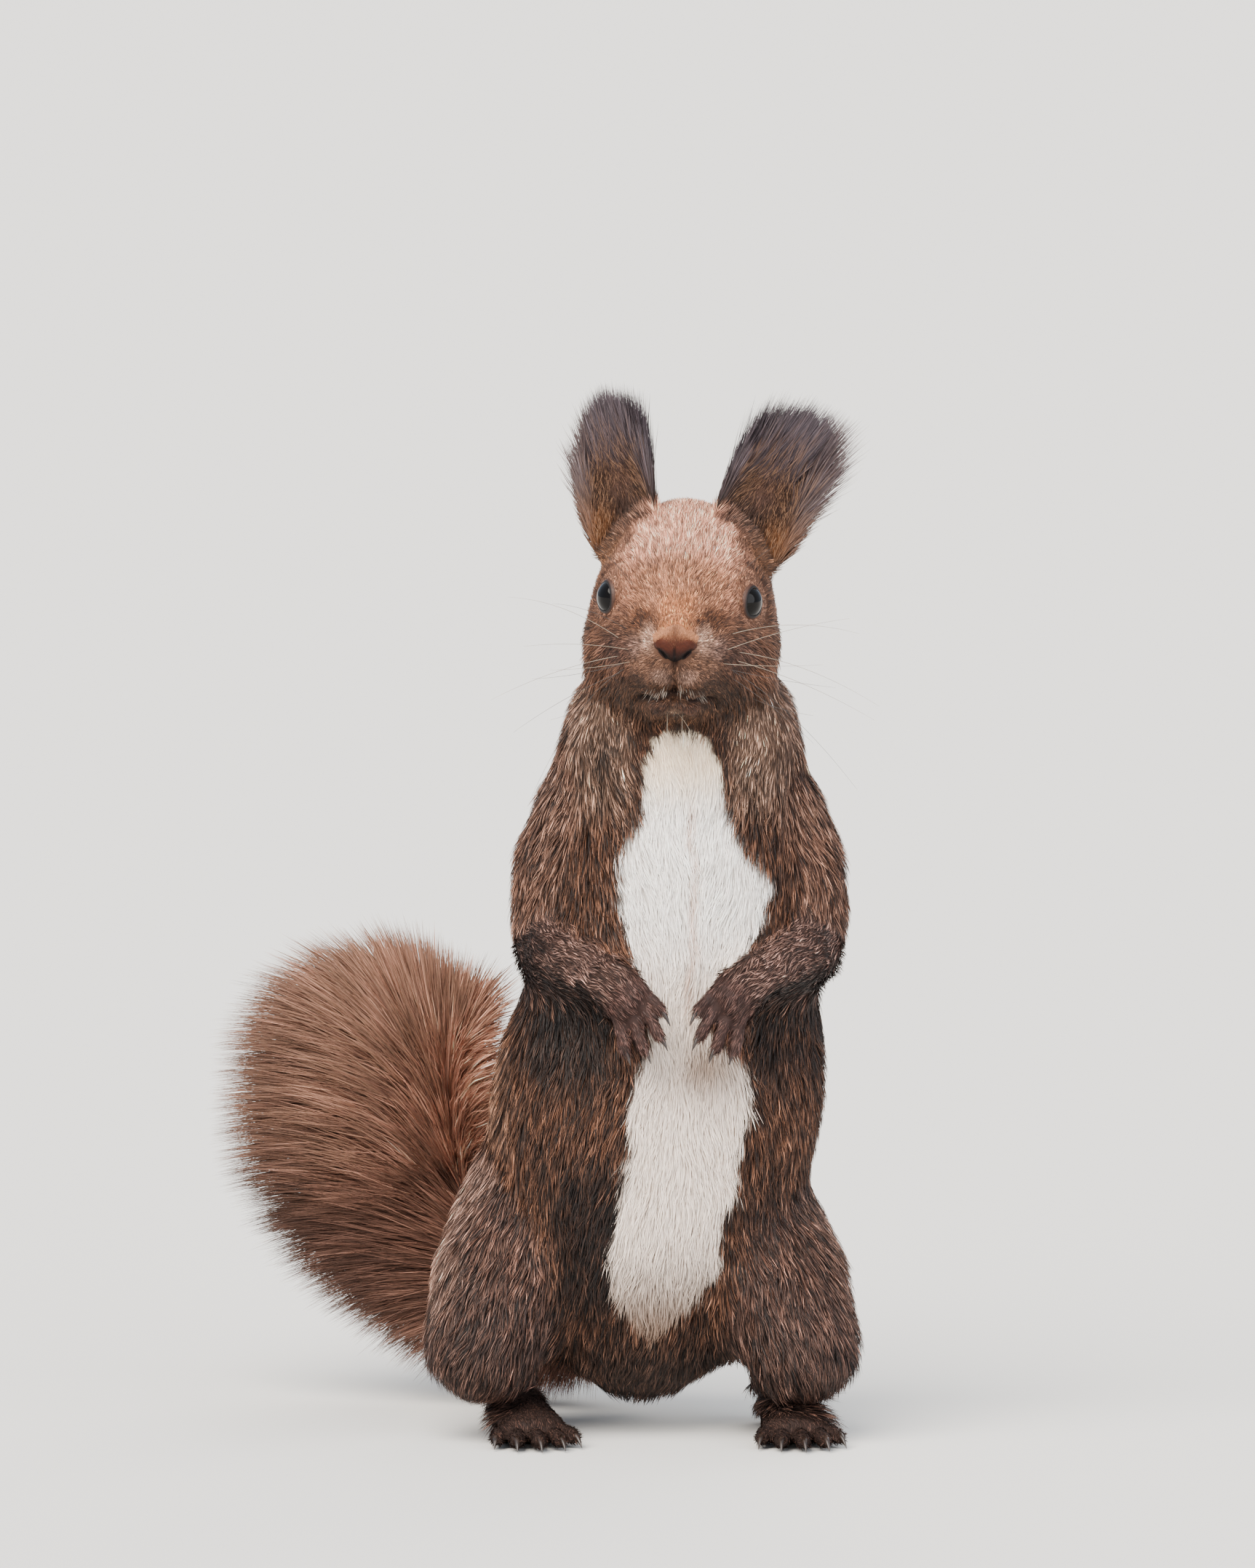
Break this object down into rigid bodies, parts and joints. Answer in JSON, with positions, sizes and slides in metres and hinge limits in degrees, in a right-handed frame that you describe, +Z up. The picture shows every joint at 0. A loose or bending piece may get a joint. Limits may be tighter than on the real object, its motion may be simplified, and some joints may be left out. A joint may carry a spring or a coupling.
{
  "type": "squirrel",
  "caption": "Life-size still model of a tufted-eared squirrel standing upright on its hind feet, hands held before its pale belly, bushy tail curled behind.",
  "frame": {"origin": "middle of the outline's bounding box, on the floor the feet stand on", "axes": "+Z up from the floor to the ears, -Y the way the squirrel faces, +X its left side"},
  "size_m": [0.1506, 0.1238, 0.2431],
  "materials": {
    "coat": "dense grizzled grey-brown fur, white on the belly",
    "dark_fur": "short dark fur over skin",
    "tail_fur": "long loose brown hair",
    "eye": "polished black",
    "nose": "moist bare skin"
  },
  "bodies": {
    "root": {"ear_left": "dark_fur", "ear_right": "dark_fur", "eye_left": "eye", "eye_right": "eye", "foot_left": "dark_fur", "foot_right": "dark_fur", "forearm_left": "coat", "forearm_right": "coat", "hand_left": "dark_fur", "hand_right": "dark_fur", "head": "coat", "neck": "coat", "nose": "nose", "shank_left": "coat", "shank_right": "coat", "tail_base": "tail_fur", "tail_middle": "tail_fur", "tail_tip": "tail_fur", "thigh_left": "coat", "thigh_right": "coat", "trunk": "coat", "upper_arm_left": "coat", "upper_arm_right": "coat"}
  },
  "joints": []
}
